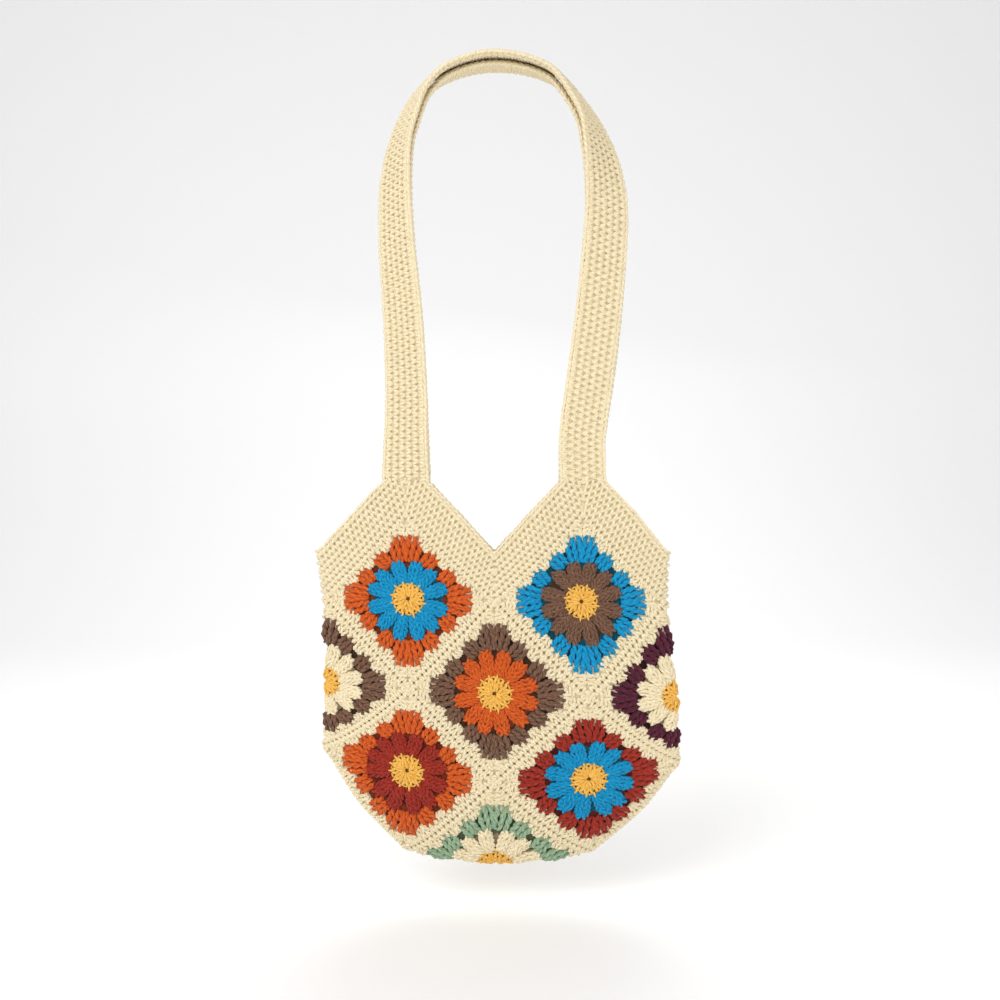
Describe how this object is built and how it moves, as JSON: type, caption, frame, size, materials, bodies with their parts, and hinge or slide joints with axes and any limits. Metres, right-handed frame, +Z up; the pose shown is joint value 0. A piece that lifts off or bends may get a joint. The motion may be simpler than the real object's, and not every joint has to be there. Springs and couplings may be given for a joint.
{
  "type": "crochet shoulder bag",
  "caption": "Crocheted shoulder bag of joined granny squares with a V-shaped opening and two wide straps, hanging empty.",
  "frame": {"origin": "where the two straps rest on a shoulder or hook, on the underside at the middle of their arch", "axes": "+Z up, the front of the bag faces -Y, +X to the right as the front is seen"},
  "size_m": [0.3594, 0.0564, 0.8024],
  "materials": {
    "cream_yarn": "matte plied acrylic yarn, crocheted",
    "yellow_yarn": "matte plied acrylic yarn, crocheted",
    "turquoise_yarn": "matte plied acrylic yarn, crocheted",
    "orange_yarn": "matte plied acrylic yarn, crocheted",
    "brown_yarn": "matte plied acrylic yarn, crocheted",
    "rust_red_yarn": "matte plied acrylic yarn, crocheted",
    "burgundy_yarn": "matte plied acrylic yarn, crocheted",
    "sage_yarn": "matte plied acrylic yarn, crocheted"
  },
  "bodies": {
    "root": {"front_top_left_centre": "yellow_yarn", "front_top_left_petals": "turquoise_yarn", "front_top_left_clusters": "orange_yarn", "front_top_left_surround": "cream_yarn", "front_top_right_centre": "yellow_yarn", "front_top_right_petals": "brown_yarn", "front_top_right_clusters": "turquoise_yarn", "front_top_right_surround": "cream_yarn", "front_middle_centre": "yellow_yarn", "front_middle_petals": "orange_yarn", "front_middle_clusters": "brown_yarn", "front_middle_surround": "cream_yarn", "side_left_centre": "yellow_yarn", "side_left_petals": "cream_yarn", "side_left_clusters": "brown_yarn", "side_left_surround": "cream_yarn", "side_right_centre": "yellow_yarn", "side_right_petals": "cream_yarn", "side_right_clusters": "burgundy_yarn", "side_right_surround": "cream_yarn", "front_lower_left_centre": "yellow_yarn", "front_lower_left_petals": "rust_red_yarn", "front_lower_left_clusters": "orange_yarn", "front_lower_left_surround": "cream_yarn", "front_lower_right_centre": "yellow_yarn", "front_lower_right_petals": "turquoise_yarn", "front_lower_right_clusters": "rust_red_yarn", "front_lower_right_surround": "cream_yarn", "bottom_centre": "yellow_yarn", "bottom_petals": "cream_yarn", "bottom_clusters": "sage_yarn", "bottom_surround": "cream_yarn", "back_top_left_centre": "yellow_yarn", "back_top_left_petals": "rust_red_yarn", "back_top_left_clusters": "brown_yarn", "back_top_left_surround": "cream_yarn", "back_top_right_centre": "yellow_yarn", "back_top_right_petals": "turquoise_yarn", "back_top_right_clusters": "orange_yarn", "back_top_right_surround": "cream_yarn", "back_middle_centre": "yellow_yarn", "back_middle_petals": "cream_yarn", "back_middle_clusters": "turquoise_yarn", "back_middle_surround": "cream_yarn", "back_lower_left_centre": "yellow_yarn", "back_lower_left_petals": "orange_yarn", "back_lower_left_clusters": "sage_yarn", "back_lower_left_surround": "cream_yarn", "back_lower_right_centre": "yellow_yarn", "back_lower_right_petals": "brown_yarn", "back_lower_right_clusters": "burgundy_yarn", "back_lower_right_surround": "cream_yarn", "border": "cream_yarn", "front_strap": "cream_yarn", "back_strap": "cream_yarn"}
  },
  "joints": []
}
